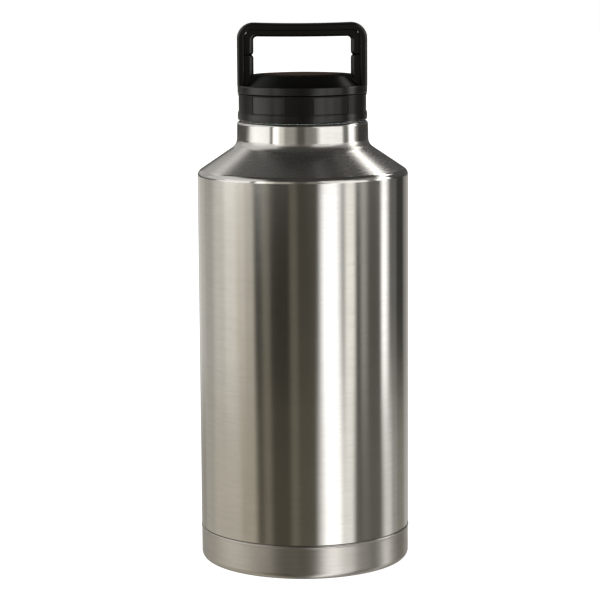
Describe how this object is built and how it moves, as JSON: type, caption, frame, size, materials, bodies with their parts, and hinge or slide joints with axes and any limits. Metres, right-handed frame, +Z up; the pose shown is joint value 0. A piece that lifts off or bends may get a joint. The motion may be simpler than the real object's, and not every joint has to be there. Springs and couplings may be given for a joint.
{
  "type": "insulated growler",
  "caption": "Tall double-walled brushed steel bottle with a conical shoulder and a black two-stage screw lid with a rigid loop handle.",
  "frame": {"origin": "on the floor under the bottle's axis, at the middle of the foot", "axes": "+Z up along the bottle's axis, the handle runs along X, the front of the handle faces -Y"},
  "size_m": [0.115, 0.115, 0.2945],
  "materials": {
    "brushed_shell": "circumferentially brushed stainless steel",
    "brushed_cup": "duller brushed stainless steel",
    "bare_steel": "drawn stainless steel",
    "foil": "bright copper-coloured foil",
    "getter_metal": "sintered grey metal",
    "seal_glass": "dark solder glass",
    "silicone": "translucent white silicone",
    "black_plastic": "satin black moulded plastic",
    "liner_plastic": "dark grey moulded plastic",
    "brown_inlay": "dark brown gloss plastic",
    "foam": "rigid insulating foam"
  },
  "bodies": {
    "bottle": {"outer_shell": "brushed_shell", "base_cup": "brushed_cup", "base_disc": "brushed_cup", "vacuum_seal": "seal_glass", "inner_vessel": "bare_steel", "vessel_bottom": "bare_steel", "heat_foil": "foil", "getter": "getter_metal"},
    "mouth_seal": {"mouth_gasket": "silicone"},
    "collar": {"grip_collar": "black_plastic", "spout_plug": "black_plastic", "collar_foam": "foam", "plug_cover": "black_plastic"},
    "spout_seal": {"spout_gasket": "silicone"},
    "cap": {"handle_frame": "black_plastic", "cap_shell": "black_plastic", "top_disc": "brown_inlay", "cap_liner": "liner_plastic", "cap_foam": "foam", "grip_liner": "black_plastic", "liner_pins": "bare_steel"}
  },
  "joints": [
    {"name": "lid_lift", "type": "slide", "parent": "bottle", "child": "mouth_seal", "axis": [0, 0, 1], "range_m": [0, 0.025]},
    {"name": "lid_turn", "type": "hinge", "parent": "mouth_seal", "child": "collar", "pos_m": [0, 0, 0.2415], "axis": [0, 0, 1], "range_deg": [0, 900]},
    {"name": "cap_lift", "type": "slide", "parent": "collar", "child": "spout_seal", "axis": [0, 0, 1], "range_m": [0, 0.02]},
    {"name": "cap_turn", "type": "hinge", "parent": "spout_seal", "child": "cap", "pos_m": [0, 0, 0.2597], "axis": [0, 0, 1], "range_deg": [0, 900]}
  ],
  "couplings": [
    {"joint": "lid_lift", "follows": "lid_turn", "m_per_rad": 0.0015915},
    {"joint": "cap_lift", "follows": "cap_turn", "m_per_rad": 0.0012732}
  ]
}
